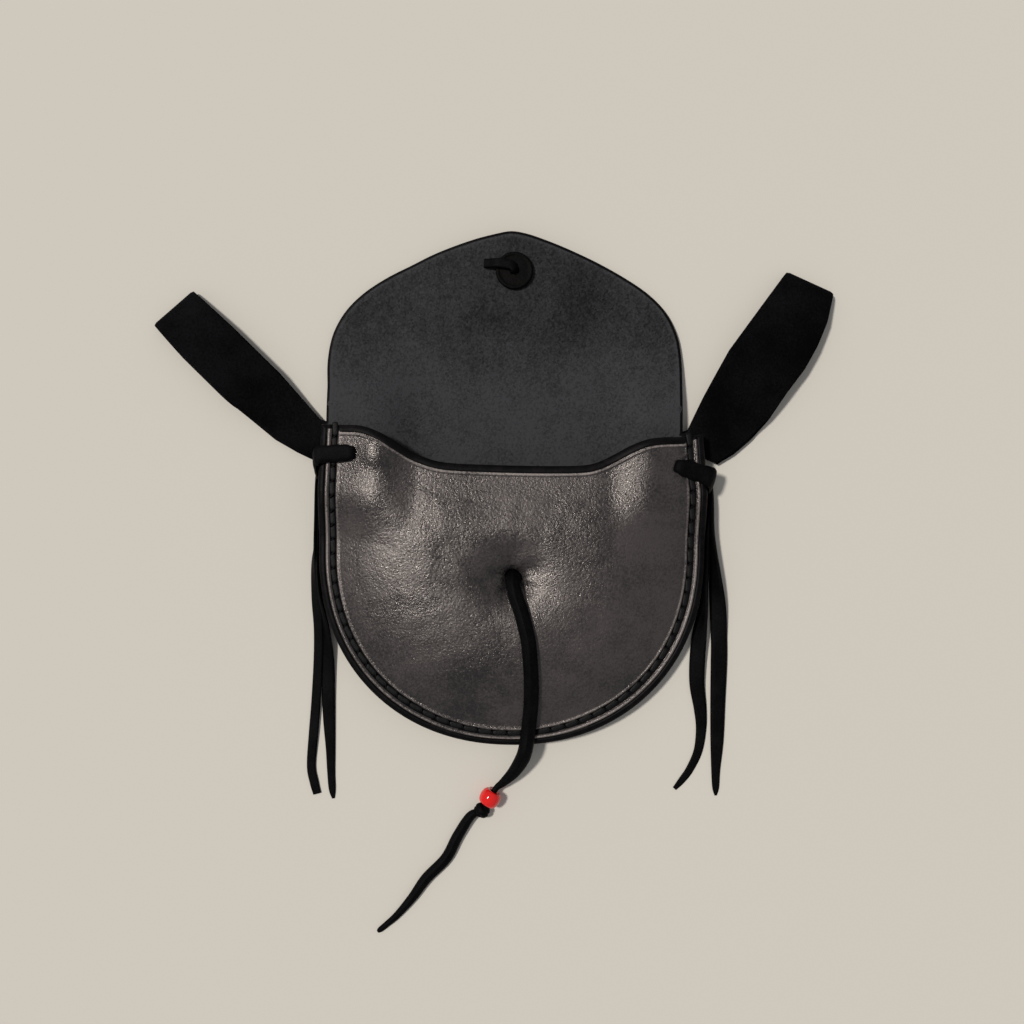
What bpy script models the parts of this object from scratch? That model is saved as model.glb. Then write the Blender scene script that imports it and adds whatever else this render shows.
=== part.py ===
import math

import bmesh
import bpy
from mathutils import Vector

for found in list(bpy.data.objects):
    bpy.data.objects.remove(found)

# Driving sizes. Everything below is written in millimetres and made in metres.
MM = 0.001
GAP = 0.3
LEATHER = 2.8
WELT = 2.0
SUEDE = 1.0
LACE = 1.5
LACE_WIDTH = 6.6
THONG = 2.4
THONG_WIDTH = 6.6

HALF_WIDTH = 76.2
BOWL_DEPTH = 76.3
BOWL_POWER = 2.15
LEFT_CORNER = (-75.2, 49.0)
RIGHT_CORNER = (74.2, 47.2)
FLANGE = 8.0
BULGE = 9.5
BULGE_RUN = 40.0
DIMPLE = 3.5

FOLD_Y = 50.5
FOLD_RADIUS = 5.0
FOLD_FLAT = 4.0
FLAP_LEFT = -74.1
FLAP_RIGHT = 66.9

THONG_HOLE = (0.6, -9.4)
THONG_HOLE_SIZE = 3.7
LEFT_HOLE = (-61.5, 37.9)
RIGHT_HOLE = (63.0, 34.6)
BUTTON_AT = (-0.5, 110.9)
BUTTON_THICK = 3.4
BUTTON_RADIUS = 9.0
BUTTON_BORE = 2.4
DISC_RADIUS = 7.4
DISC_THICK = 1.8
CLOSURE_LACE = 3.8
BEAD_AT = (-7.3, -98.0)
BEAD_RADIUS = 4.15
BEAD_LENGTH = 6.2
BEAD_BORE = 1.75
LEFT_LOOP_END = (-136.35, 95.35)
LEFT_LOOP_HEADING = (0.6667, -0.7453)
RIGHT_LOOP_END = (117.5, 109.05)
RIGHT_LOOP_HEADING = (-0.4030, -0.9152)
CUT_LOW = -5.0
CUT_HIGH = 45.0
HOLE_HIGH = 30.0

# The corners stand on a lace and on both layers of a belt loop.
CORNER_LIFT = LACE + 2 * SUEDE + 3 * GAP
FRONT_BASE = LEATHER + GAP + WELT + GAP
TIP_LIFT = BUTTON_THICK + GAP
AXIS_Z = LEATHER + FOLD_RADIUS
LACE_SIDE = max(HALF_WIDTH, 1 - LEFT_CORNER[0]) + GAP + LACE / 2 + 0.55
UPPER_FOLD_Y = FOLD_Y + 2 * FOLD_RADIUS + FOLD_FLAT

parts = bpy.data.collections.new("beaded_medicine_bag")
bpy.context.scene.collection.children.link(parts)
cutters = bpy.data.collections.new("cutters")
cutters.hide_render = True
bpy.context.scene.collection.children.link(cutters)


def material(name, color, roughness):
    made = bpy.data.materials.new(name)
    made.use_nodes = True
    shader = made.node_tree.nodes["Principled BSDF"]
    shader.inputs["Base Color"].default_value = (*color, 1)
    shader.inputs["Roughness"].default_value = roughness
    shader.inputs["Metallic"].default_value = 0.0
    return made


FRONT_LEATHER = material("moulded_leather", (0.066, 0.060, 0.061), 0.42)
FLAP_LEATHER = material("flap_leather", (0.035, 0.035, 0.036), 0.60)
BLACK_SUEDE = material("black_suede", (0.009, 0.009, 0.009), 0.92)
LACE_LEATHER = material("lace_leather", (0.012, 0.012, 0.013), 0.70)
DISC_LEATHER = material("disc_leather", (0.010, 0.009, 0.009), 0.55)
RED_GLASS = material("red_glass", (0.68, 0.033, 0.033), 0.12)


def at(x, y, z):
    return Vector((x, y, z)) * MM


def place(name, mesh, look):
    made = bpy.data.objects.new(name, mesh)
    parts.objects.link(made)
    made.data.materials.clear()
    made.data.materials.append(look)
    return made


def hide(name, mesh):
    made = bpy.data.objects.new(name, mesh)
    cutters.objects.link(made)
    made.display_type = "WIRE"
    made.hide_render = True
    return made


def combine(target, other, operation):
    step = target.modifiers.new(other.name, "BOOLEAN")
    step.operation = operation
    step.solver = "EXACT"
    step.object = other


def ease(t):
    t = min(max(t, 0.0), 1.0)
    return t * t * (3 - 2 * t)


def lift(x, y):
    """Height of the back leather above the floor."""
    corner = ease((abs(x) - 36) / 20) * ease((y - 2) / 22) * (1 - ease((y - 52) / 32))
    tip = ease((y - 82) / 18) * (1 - ease((abs(x - BUTTON_AT[0]) - 14) / 30))
    return CORNER_LIFT * corner + TIP_LIFT * tip


def inside(x, y):
    """Distance in from the outline of the body."""
    bowl = abs(x / HALF_WIDTH) ** BOWL_POWER + abs(min(y, 0) / BOWL_DEPTH) ** BOWL_POWER
    return HALF_WIDTH * (1 - bowl ** (1 / BOWL_POWER))


def moulded(x, y):
    """Rise of the moulded front above its flange."""
    run = min(max((inside(x, y) - FLANGE) / BULGE_RUN, 0.0), 1.0)
    rise = BULGE * (1 - (1 - run) ** 2.2) * (1 - 0.3 * ease((y - 4) / 30))
    reach = (x - THONG_HOLE[0]) ** 2 + (y - THONG_HOLE[1]) ** 2
    return rise - DIMPLE * math.exp(-reach / 128)


def front_under(x, y):
    return lift(x, y) + FRONT_BASE + moulded(x, y)


def front_top(x, y):
    return front_under(x, y) + LEATHER


def through(points, steps):
    """A smooth run of points through the given ones."""
    ends = [[2 * a - b for a, b in zip(points[0], points[1])]]
    ends += [list(p) for p in points]
    ends += [[2 * a - b for a, b in zip(points[-1], points[-2])]]
    run = []
    for i in range(1, len(ends) - 2):
        for k in range(steps):
            t = k / steps
            near = zip(ends[i - 1], ends[i], ends[i + 1], ends[i + 2])
            run.append(tuple(
                0.5 * (2 * b + (c - a) * t + (2 * a - 5 * b + 4 * c - d) * t * t
                       + (3 * b - a - 3 * c + d) * t ** 3)
                for a, b, c, d in near
            ))
    run.append(tuple(points[-1]))
    return run


def prism(name, outline, low, high):
    """A flat outline drawn as a filled curve and made a mesh."""
    curve = bpy.data.curves.new(name, "CURVE")
    curve.dimensions = "2D"
    curve.fill_mode = "BOTH"
    curve.extrude = (high - low) / 2 * MM
    spline = curve.splines.new("POLY")
    spline.points.add(len(outline) - 1)
    spline.use_cyclic_u = True
    for point, (x, y) in zip(spline.points, outline):
        point.co = (x * MM, y * MM, 0, 1)
    drawn = bpy.data.objects.new(name + "_drawn", curve)
    cutters.objects.link(drawn)
    bpy.context.view_layer.update()
    mesh = bpy.data.meshes.new_from_object(drawn)
    bpy.data.objects.remove(drawn)
    work = bmesh.new()
    work.from_mesh(mesh)
    bmesh.ops.remove_doubles(work, verts=work.verts, dist=0.00001)
    bmesh.ops.translate(work, verts=work.verts, vec=at(0, 0, (low + high) / 2))
    bmesh.ops.recalc_face_normals(work, faces=work.faces)
    work.to_mesh(mesh)
    work.free()
    return mesh


def pin(name, x, y, low, high, radius, long=None, turn=0.0):
    """A round or long cutter through the leather."""
    work = bmesh.new()
    bmesh.ops.create_cone(
        work, cap_ends=True, segments=24, radius1=1, radius2=1, depth=(high - low) * MM
    )
    for vertex in work.verts:
        vertex.co.x *= radius * MM
        vertex.co.y *= (long or radius) * MM
    mesh = bpy.data.meshes.new(name)
    work.to_mesh(mesh)
    work.free()
    made = hide(name, mesh)
    made.location = at(x, y, (low + high) / 2)
    made.rotation_euler.z = turn
    return made


def lines(low, high, step=7.0):
    first = math.floor(low / step)
    last = math.ceil(high / step)
    return [i * step for i in range(first, last + 1)]


def slab(name, outline, under, thickness, look):
    """A sheet of leather whose underside follows a height, cut to its outline."""
    xs = lines(min(p[0] for p in outline) - 1, max(p[0] for p in outline) + 1)
    ys = lines(min(p[1] for p in outline) - 1, max(p[1] for p in outline) + 1)
    work = bmesh.new()
    across = len(xs) - 1
    along = len(ys) - 1
    bmesh.ops.create_grid(work, x_segments=across, y_segments=along, size=0.5)
    for vertex in work.verts:
        x = xs[round((vertex.co.x + 0.5) * across)]
        y = ys[round((vertex.co.y + 0.5) * along)]
        vertex.co = at(x, y, under(x, y))
    bmesh.ops.triangulate(work, faces=work.faces, quad_method="FIXED")
    made = bmesh.ops.extrude_face_region(work, geom=work.faces[:])["geom"]
    top = [item for item in made if isinstance(item, bmesh.types.BMVert)]
    bmesh.ops.translate(work, verts=top, vec=at(0, 0, thickness))
    bmesh.ops.recalc_face_normals(work, faces=work.faces)
    mesh = bpy.data.meshes.new(name)
    work.to_mesh(mesh)
    work.free()
    piece = place(name, mesh, look)
    edge = hide(name + "_outline", prism(name + "_outline", outline, CUT_LOW, CUT_HIGH))
    combine(piece, edge, "INTERSECT")
    return piece


def body_path(inset):
    """The body's edge from its left corner around the bowl to its right corner."""
    half = HALF_WIDTH - inset
    depth = BOWL_DEPTH - inset
    path = [(LEFT_CORNER[0] + inset, LEFT_CORNER[1]), (-half, 24)]
    for i in range(41):
        turn = math.pi * i / 40
        x = -half * math.copysign(abs(math.cos(turn)) ** (2 / BOWL_POWER), math.cos(turn))
        path.append((x, -depth * math.sin(turn) ** (2 / BOWL_POWER)))
    return path + [(half, 24), (RIGHT_CORNER[0] - inset, RIGHT_CORNER[1])]


def tilts(points, sides):
    """Tilt at each point that turns a flat section's width to the given side."""
    headings = []
    for i, point in enumerate(points):
        before = (point - points[max(i - 1, 0)]).normalized()
        after = (points[min(i + 1, len(points) - 1)] - point).normalized()
        headings.append((before + after).normalized())
    turned = headings[0].to_track_quat("-Z", "Y")
    found = []
    for i, heading in enumerate(headings):
        if i:
            turned = headings[i - 1].rotation_difference(heading) @ turned
        first = turned @ Vector((1, 0, 0))
        side = sides[i] - sides[i].dot(heading) * heading
        angle = math.atan2(first.cross(side).dot(heading), first.dot(side))
        found.append(angle + math.pi / 2)
    return found


def strap(name, route, sides, scales, width, thickness):
    """A flat lace swept along its route."""
    curve = bpy.data.curves.new(name, "CURVE")
    curve.dimensions = "3D"
    curve.twist_mode = "MINIMUM"
    curve.extrude = (width - thickness) / 2 * MM
    curve.bevel_depth = thickness / 2 * MM
    curve.bevel_resolution = 2
    curve.use_fill_caps = True
    spline = curve.splines.new("POLY")
    spline.points.add(len(route) - 1)
    points = [at(*p) for p in route]
    for point, spot, tilt, scale in zip(spline.points, points, tilts(points, sides), scales):
        point.co = (*spot, 1)
        point.tilt = tilt
        point.radius = scale
    made = bpy.data.objects.new(name, curve)
    return made


# Back leather: back panel, fold strip and flap
back_outline = body_path(0) + [
    (FLAP_RIGHT, RIGHT_CORNER[1] + 0.6),
    (FLAP_RIGHT, FOLD_Y - GAP / 2),
    (FLAP_LEFT, FOLD_Y - GAP / 2),
]
back = slab("back_panel", back_outline, lift, LEATHER, FLAP_LEATHER)

fold_outline = [
    (FLAP_LEFT, FOLD_Y + GAP / 2),
    (FLAP_RIGHT, FOLD_Y + GAP / 2),
    (FLAP_RIGHT, UPPER_FOLD_Y - GAP / 2),
    (FLAP_LEFT, UPPER_FOLD_Y - GAP / 2),
]
fold = slab("flap_fold", fold_outline, lift, LEATHER, FLAP_LEATHER)

flap_edge = [
    (FLAP_LEFT, UPPER_FOLD_Y + GAP / 2), (-74.5, 75), (-72.9, 85), (-68.3, 94.2), (-61.2, 101.8),
    (-52, 108.2), (-41.7, 113.6), (-31.5, 118.4), (-17.4, 123.3), (-8, 125.9), (-1.9, 127),
    (4.2, 126.1), (11.4, 123.8), (23.6, 119.2), (34.3, 114.7), (44, 109.6), (53.5, 103.2),
    (60.6, 95.8), (65.1, 86.6), (66.7, 77), (FLAP_RIGHT, UPPER_FOLD_Y + GAP / 2),
]
flap = slab("flap", through(flap_edge, 3), lift, LEATHER, FLAP_LEATHER)
combine(flap, pin("flap_hole", *BUTTON_AT, CUT_LOW, CUT_HIGH, BUTTON_BORE), "DIFFERENCE")

# Welt in the seam between back and front
welt_outline = body_path(0) + list(reversed(body_path(FLANGE)))
welt = slab("welt", welt_outline, lambda x, y: lift(x, y) + LEATHER + GAP, WELT, LACE_LEATHER)

# Moulded front with its scooped mouth
mouth = [
    LEFT_CORNER, (-67.6, 48.9), (-58.6, 48.3), (-50.8, 45.4), (-44.5, 41.6), (-37.8, 37.8),
    (-30, 35.2), (-22.2, 34.3), (-12.1, 34), (0.8, 33.8), (13.6, 33.8), (26.8, 34.2),
    (33.1, 35.6), (39.6, 38.8), (45.8, 42.2), (52.4, 44.7), (59, 45.6), (65.2, 46), RIGHT_CORNER,
]
front_outline = body_path(0) + list(reversed(through(mouth, 2)))[1:-1]
front = slab("front_panel", front_outline, front_under, LEATHER, FRONT_LEATHER)
combine(front, pin("thong_hole", *THONG_HOLE, FRONT_BASE - 1, CUT_HIGH, THONG_HOLE_SIZE), "DIFFERENCE")

# Punched holes for the laces at the two corners
slot_long = LACE_WIDTH / 2 + 0.5
left_slot = pin("left_slot", *LEFT_HOLE, CUT_LOW, HOLE_HIGH, 1.25, slot_long, math.radians(3))
right_slot = pin("right_slot", *RIGHT_HOLE, CUT_LOW, HOLE_HIGH, 1.25, slot_long, math.radians(-16))
for piece in (back, front):
    combine(piece, left_slot, "DIFFERENCE")
    combine(piece, right_slot, "DIFFERENCE")


def belt_loop(name, outer, inward, plan, slot):
    """A suede strip doubled over at its outer end, as a shell cut to its plan."""
    side = [
        (104, 2.3), (86, 2.3), (70, 2.3), (63, 1.7), (56, 0.9), (50, 0.55), (36, 0.55), (20, 0.55),
        (8, 0.55), (3.4, 0.65), (1.2, 1.3), (0.5, 2.5), (1.1, 3.8), (3, 4.7), (8, 5.8), (14, 6.8),
        (24, 7.4), (34, 7.5), (44, 7.3), (50, 6.8), (57, 5.5), (63, 4.2), (70, 3.6), (86, 3.6),
        (104, 3.6),
    ]
    work = bmesh.new()
    across = Vector((-inward[1], inward[0], 0))
    corners = []
    for s, z in side:
        spot = Vector((outer[0] + inward[0] * s, outer[1] + inward[1] * s, z))
        corners.append(work.verts.new((spot - across * 24) * MM))
    edges = [work.edges.new(pair) for pair in zip(corners, corners[1:])]
    swept = bmesh.ops.extrude_edge_only(work, edges=edges)["geom"]
    moved = [item for item in swept if isinstance(item, bmesh.types.BMVert)]
    bmesh.ops.translate(work, verts=moved, vec=across * 48 * MM)
    bmesh.ops.recalc_face_normals(work, faces=work.faces)
    mesh = bpy.data.meshes.new(name)
    work.to_mesh(mesh)
    work.free()
    made = place(name, mesh, BLACK_SUEDE)
    shell = made.modifiers.new("thickness", "SOLIDIFY")
    shell.thickness = SUEDE * MM
    shell.offset = 0
    combine(made, hide(name + "_plan", prism(name + "_plan", plan, CUT_LOW, HOLE_HIGH)), "INTERSECT")
    combine(made, slot, "DIFFERENCE")
    return made


left_plan = [
    (-128.7, 102.2), (-144, 88.5), (-130.9, 74.7), (-111, 55.7), (-95, 43.2), (-86, 38.2),
    (-79.5, 35.2), (-77, 34.6), (-70, 32), (-57.5, 29.5), (-57.5, 46.5), (-77, 51.5),
    (-94, 70.1), (-113.7, 88.9),
]
right_plan = [
    (108.3, 113.1), (93.1, 91.8), (86, 81.8), (81, 72.5), (75.6, 62.4), (72.2, 55.4),
    (69.4, 49.3), (57.5, 46), (57.5, 27), (66, 28.5), (77, 33.4), (79.5, 34.6), (87.9, 39.8),
    (95, 46), (102.1, 53.9), (108.5, 63.5), (115, 73.3), (119.5, 82.5), (123.5, 92.6),
    (126.7, 105),
]
belt_loop("belt_loop_left", LEFT_LOOP_END, LEFT_LOOP_HEADING, left_plan, left_slot)
belt_loop("belt_loop_right", RIGHT_LOOP_END, RIGHT_LOOP_HEADING, right_plan, right_slot)


def wrap_lace(name, route, side):
    run = through(route, 2)
    made = strap(name, run, [Vector(side)] * len(run), [1.0] * len(run), LACE_WIDTH, LACE)
    made.data.materials.append(LACE_LEATHER)
    parts.objects.link(made)
    return made


over_left = front_top(*LEFT_HOLE) + GAP + LACE / 2
wrap_lace("wrap_lace_left", [
    (-74.6, 31, 0.76), (-70, 33.2, 0.76), (-65.6, 35.8, 0.76), (-62.9, 37.4, 0.8),
    (-61.7, 37.9, 1.5), (-61.5, 37.9, 2.8), (-61.5, 37.9, 7), (-61.5, 37.9, 12),
    (-61.55, 37.9, over_left - 1.2), (-62, 37.88, over_left + 0.1),
    (-63.3, 37.8, over_left + 0.4), (-66.2, 37.7, over_left - 0.4), (-69.2, 37.5, over_left - 1.2),
    (4.8 - LACE_SIDE, 37.2, over_left - 1.7), (2 - LACE_SIDE, 36.8, over_left - 1.8),
    (0.5 - LACE_SIDE, 36, 12.6), (-LACE_SIDE, 34.8, 10.4), (-LACE_SIDE, 32.9, 7.6),
    (-LACE_SIDE, 31.2, 5.2), (-LACE_SIDE, 30.1, 3.2),
], (-0.052, 0.9987, 0))

over_right = front_top(*RIGHT_HOLE) + GAP + LACE / 2
wrap_lace("wrap_lace_right", [
    (73.4, 27.6, 0.76), (69.6, 30.3, 0.76), (65.9, 33, 0.76), (64.2, 34.2, 0.8),
    (63.2, 34.6, 1.5), (63, 34.6, 2.8), (63, 34.6, 7), (63, 34.6, 12),
    (63.05, 34.6, over_right - 1.2), (63.5, 34.45, over_right + 0.1),
    (64.8, 34.1, over_right + 0.4), (67.6, 33.3, over_right - 0.3), (70.6, 32.4, over_right - 1.1),
    (LACE_SIDE - 3.8, 31.4, over_right - 1.6), (LACE_SIDE - 1.6, 30.7, over_right - 1.8),
    (LACE_SIDE - 0.2, 29.9, 12.2), (LACE_SIDE + 0.2, 28.9, 10), (LACE_SIDE + 0.2, 27.7, 7.6),
    (LACE_SIDE + 0.2, 26.5, 5.2), (LACE_SIDE + 0.1, 25.8, 3.4),
], (0.277, 0.961, 0))


def tail(name, stations):
    """A free lace end. Each station is x, y, its roll from flat in degrees and its width."""
    run = through(stations, 2)
    route = []
    sides = []
    for i, (x, y, roll, scale) in enumerate(run):
        before = run[max(i - 1, 0)]
        after = run[min(i + 1, len(run) - 1)]
        heading = Vector((after[0] - before[0], after[1] - before[1], 0)).normalized()
        level = Vector((-heading.y, heading.x, 0))
        turn = math.radians(roll)
        sides.append(level * math.cos(turn) + Vector((0, 0, math.sin(turn))))
        stand = (LACE_WIDTH - LACE) / 2 * abs(math.sin(turn)) + LACE / 2
        route.append((x, y, stand * scale + 0.06))
    made = strap(name, route, sides, [s[3] for s in run], LACE_WIDTH, LACE)
    made.data.materials.append(LACE_LEATHER)
    parts.objects.link(made)
    return made


tail("tail_left_outer", [
    (-79.6, 26.3, 90, 1), (-79.6, 14, 90, 1), (-79.7, 3.4, 90, 1), (-79.8, -8, 80, 0.95),
    (-79.6, -20, 60, 0.85), (-78.9, -32, 50, 0.75), (-78.5, -44.6, 40, 0.7),
    (-78.6, -60.7, 30, 0.65), (-79, -73.5, 20, 0.6), (-79.2, -86.8, 0, 0.55),
    (-77.3, -94.3, 0, 0.55), (-75.9, -98.3, 0, 0.5),
])
tail("tail_left_inner", [
    (-77.7, 26.1, 90, 1), (-77.7, 14, 90, 1), (-77.7, 3, 90, 1), (-77.5, -8, 90, 1),
    (-76.8, -18, 80, 1), (-75, -27, 60, 0.9), (-72.9, -36, 35, 0.85), (-71.2, -46, 10, 0.8),
    (-70.8, -60.6, 0, 0.75), (-71.2, -73.4, 0, 0.7), (-71.2, -87.8, 0, 0.55),
    (-70.3, -99.9, 0, 0.15),
])
tail("tail_right_inner", [
    (77.8, 21.9, 90, 1), (77.7, 10, 90, 1), (77.6, -2.4, 90, 1), (77.3, -12, 88, 1),
    (76.8, -20, 75, 1), (75.2, -34.5, 30, 0.95), (74.8, -50.6, 10, 0.9),
    (75.8, -66.6, 0, 0.85), (75.9, -74.6, 0, 0.8), (74.9, -81, 0, 0.75), (73, -85.8, 0, 0.65),
    (69.9, -90.7, 0, 0.6), (67.1, -93.9, 0, 0.55),
])
tail("tail_right_outer", [
    (79.7, 22.1, 90, 1), (79.7, 10, 90, 1), (80.3, 1, 80, 1), (81.4, -10, 50, 1),
    (82.8, -22, 20, 1), (83.5, -34, 0, 1), (83.6, -44, 0, 1), (83.4, -58.4, 0, 0.92),
    (83.3, -74.5, 0, 0.8), (83, -86.5, 0, 0.55), (83.2, -96.9, 0, 0.15),
])

# Closing thong out of the front, through the bead and past its knot
bead_heading = Vector((-0.51, -0.86, 0)).normalized()
knot_at = (BEAD_AT[0] + bead_heading.x * 6.2, BEAD_AT[1] + bead_heading.y * 6.2)
leaves = [(0.8, -12.6), (1.8, -17), (3.6, -22), (5.1, -27), (6.8, -34), (7.7, -42), (8.2, -50),
          (8.3, -58), (7.9, -65), (7.3, -71.5)]
route = [(0.6, -6.2, 5.2, 0.8), (0.6, -8.4, 7.6, 1), (0.6, -9.2, 10.4, 1), (0.6, -9.6, 14, 1)]
for x, y in leaves:
    near = 0.6 * math.exp((y + 12.6) / 4)
    route.append((x, y, front_top(x, y) + GAP + THONG / 2 + 0.35 + near, 1))
route += [
    (6.4, -77.5, 9.9, 1), (5, -82, 8.1, 1), (1.9, -87.4, 5.9, 0.85), (-2, -91.6, 4.7, 0.6),
    (-4.9, -94.1, 4.3, 0.42), (*BEAD_AT, 4.2, 0.42), (*knot_at, 3.3, 0.42),
    (-13.2, -107.8, 2.2, 0.8), (-17, -113, 1.4, 1), (-23.5, -121, 1.3, 1), (-31, -130, 1.3, 1),
    (-39.4, -139.6, 1.2, 0.85), (-46, -147, 0.9, 0.6), (-51.2, -152.5, 0.6, 0.2),
]
run = through(route, 2)
sides = []
for i, spot in enumerate(run):
    step = Vector(run[min(i + 1, len(run) - 1)][:3]) - Vector(run[max(i - 1, 0)][:3])
    level = Vector((-step.y, step.x, 0))
    sides.append(level.normalized() if level.length > 0.25 * step.length else Vector((1, 0, 0)))
thong_drawn = strap(
    "front_thong_drawn", [p[:3] for p in run], sides, [p[3] for p in run], THONG_WIDTH, THONG
)
cutters.objects.link(thong_drawn)
bpy.context.view_layer.update()
thong_mesh = bpy.data.meshes.new_from_object(thong_drawn)
bpy.data.objects.remove(thong_drawn)
work = bmesh.new()
work.from_mesh(thong_mesh)
bmesh.ops.remove_doubles(work, verts=work.verts, dist=0.00001)
work.to_mesh(thong_mesh)
work.free()
thong = place("front_thong", thong_mesh, LACE_LEATHER)
work = bmesh.new()
bmesh.ops.create_uvsphere(work, u_segments=20, v_segments=12, radius=1)
for vertex in work.verts:
    vertex.co = Vector((vertex.co.x * 2.6, vertex.co.y * 3.1, vertex.co.z * 2.8)) * MM
knot_mesh = bpy.data.meshes.new("knot")
work.to_mesh(knot_mesh)
work.free()
knot = hide("knot", knot_mesh)
knot.location = at(*knot_at, 3.1)
knot.rotation_euler.z = math.atan2(bead_heading.y, bead_heading.x)
combine(thong, knot, "UNION")

bead_half = BEAD_LENGTH / 2
profile = [(BEAD_BORE, -bead_half + 0.4), (BEAD_BORE, bead_half - 0.4), (2.1, bead_half)]
for i in range(1, 8):
    turn = math.pi * i / 8
    profile.append((2.5 + (BEAD_RADIUS - 2.5) * math.sin(turn), bead_half * math.cos(turn)))
profile.append((2.1, -bead_half))
work = bmesh.new()
ring = [work.verts.new(at(r, 0, z)) for r, z in profile]
for pair in zip(ring, ring[1:] + ring[:1]):
    work.edges.new(pair)
bead_mesh = bpy.data.meshes.new("bead")
work.to_mesh(bead_mesh)
work.free()
bead = place("bead", bead_mesh, RED_GLASS)
turned = bead.modifiers.new("turned", "SCREW")
turned.axis = "Z"
turned.steps = 32
turned.render_steps = 32
turned.use_merge_vertices = True
turned.merge_threshold = 0.00005
bead.location = at(*BEAD_AT, 4.2)
bead.rotation_euler = bead_heading.to_track_quat("Z", "Y").to_euler()

# Closure button under the flap, its disc above and the lace that ties them
flap_top = TIP_LIFT + LEATHER


def wafer(name, radius, low, high, rounding, look):
    work = bmesh.new()
    bmesh.ops.create_cone(
        work, cap_ends=True, segments=40, radius1=radius * MM, radius2=radius * MM,
        depth=(high - low) * MM,
    )
    mesh = bpy.data.meshes.new(name)
    work.to_mesh(mesh)
    work.free()
    made = place(name, mesh, look)
    made.location = at(*BUTTON_AT, (low + high) / 2)
    rim = made.modifiers.new("rim", "BEVEL")
    rim.width = rounding * MM
    rim.segments = 3
    rim.limit_method = "ANGLE"
    rim.angle_limit = math.radians(40)
    combine(made, pin(name + "_hole", *BUTTON_AT, CUT_LOW, CUT_HIGH, BUTTON_BORE), "DIFFERENCE")
    return made


disc_under = flap_top + GAP
disc_top = disc_under + DISC_THICK
button = wafer("closure_button", BUTTON_RADIUS, 0, BUTTON_THICK, 0.8, DISC_LEATHER)
disc = wafer("closure_disc", DISC_RADIUS, disc_under, disc_top, 0.4, DISC_LEATHER)

tie = through([
    (-12.4, 113.6, disc_under + 0.8), (-10.2, 113.5, disc_top - 0.3),
    (-7.4, 113.4, disc_top + 1.25), (-4.2, 113.1, disc_top + 1.3), (-1.6, 112.6, disc_top + 1.2),
    (-0.6, 111.6, disc_top + 0.5), (-0.5, 110.9, disc_top - 1.2), (-0.5, 110.9, 6),
    (-0.5, 110.9, 3), (-0.5, 110.9, 0.5),
], 2)
tie_sides = [Vector((0.1, 1, 0)) if i < 9 else Vector((1, 0.1, 0)) for i in range(len(tie))]
tie_lace = strap("closure_lace", tie, tie_sides, [1.0] * len(tie), CLOSURE_LACE, LACE)
tie_lace.data.materials.append(LACE_LEATHER)
parts.objects.link(tie_lace)

# Fold hinges: the strip hangs on the lower one, and the flap with its closure on the upper one.
lower_hinge = bpy.data.objects.new("lower_hinge", None)
lower_hinge.location = at(0, FOLD_Y, AXIS_Z)
upper_hinge = bpy.data.objects.new("upper_hinge", None)
upper_hinge.location = at(0, UPPER_FOLD_Y, AXIS_Z)
for hinge in (lower_hinge, upper_hinge):
    parts.objects.link(hinge)
bpy.context.view_layer.update()


def hang(piece, hinge):
    piece.parent = hinge
    piece.matrix_parent_inverse = hinge.matrix_world.inverted()


hang(fold, lower_hinge)
hang(upper_hinge, lower_hinge)
for piece in (flap, button, disc, tie_lace):
    hang(piece, upper_hinge)
bpy.context.view_layer.update()
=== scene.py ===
import math

import bmesh
import bpy
from mathutils import Matrix, Vector, kdtree, noise


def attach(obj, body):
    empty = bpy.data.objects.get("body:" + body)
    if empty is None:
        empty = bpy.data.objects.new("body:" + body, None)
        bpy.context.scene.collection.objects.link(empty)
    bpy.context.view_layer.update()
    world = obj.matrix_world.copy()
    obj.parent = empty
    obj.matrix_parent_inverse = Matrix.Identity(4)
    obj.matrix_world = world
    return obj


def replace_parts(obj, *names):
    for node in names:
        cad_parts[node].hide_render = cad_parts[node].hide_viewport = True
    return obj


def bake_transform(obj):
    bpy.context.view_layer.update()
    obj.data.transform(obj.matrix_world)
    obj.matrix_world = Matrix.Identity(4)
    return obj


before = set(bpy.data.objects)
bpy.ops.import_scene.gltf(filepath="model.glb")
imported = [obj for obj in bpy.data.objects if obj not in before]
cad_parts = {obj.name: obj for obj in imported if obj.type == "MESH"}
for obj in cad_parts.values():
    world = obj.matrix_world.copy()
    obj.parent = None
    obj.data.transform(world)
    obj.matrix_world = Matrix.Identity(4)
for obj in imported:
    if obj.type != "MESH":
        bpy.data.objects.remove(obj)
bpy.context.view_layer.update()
mm = 0.001

# sizes that the leather, the laces and the seam share, in millimetres
bag = {
    "leather": 2.8, "gap": 0.3, "welt": 2.0, "suede": 1.0, "lace": 1.5, "laceWidth": 6.6,
    "halfWidth": 76.2, "bowlDepth": 76.3, "bowlPower": 2.15,
    "leftCorner": (-75.2, 49.0), "rightCorner": (74.2, 47.2),
    "flange": 8.0, "bulge": 9.5, "bulgeRun": 40.0, "dimple": 3.5, "dimpleWide": 8.0,
    "foldY": 50.5, "foldStrip": 14.0, "flapLeft": -74.1, "flapRight": 66.9, "tipLift": 3.7,
    "thongHole": (0.6, -9.4), "leftHole": (-61.5, 37.9), "rightHole": (63.0, 34.6),
    "button": (-0.5, 110.9),
}
cornerLift = bag["lace"] + 2 * bag["suede"] + 3 * bag["gap"]
frontBase = bag["leather"] + bag["welt"] + 2 * bag["gap"]


def addObject(name, data):
    made = bpy.data.objects.new(name, data)
    bpy.context.scene.collection.objects.link(made)
    return made


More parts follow.
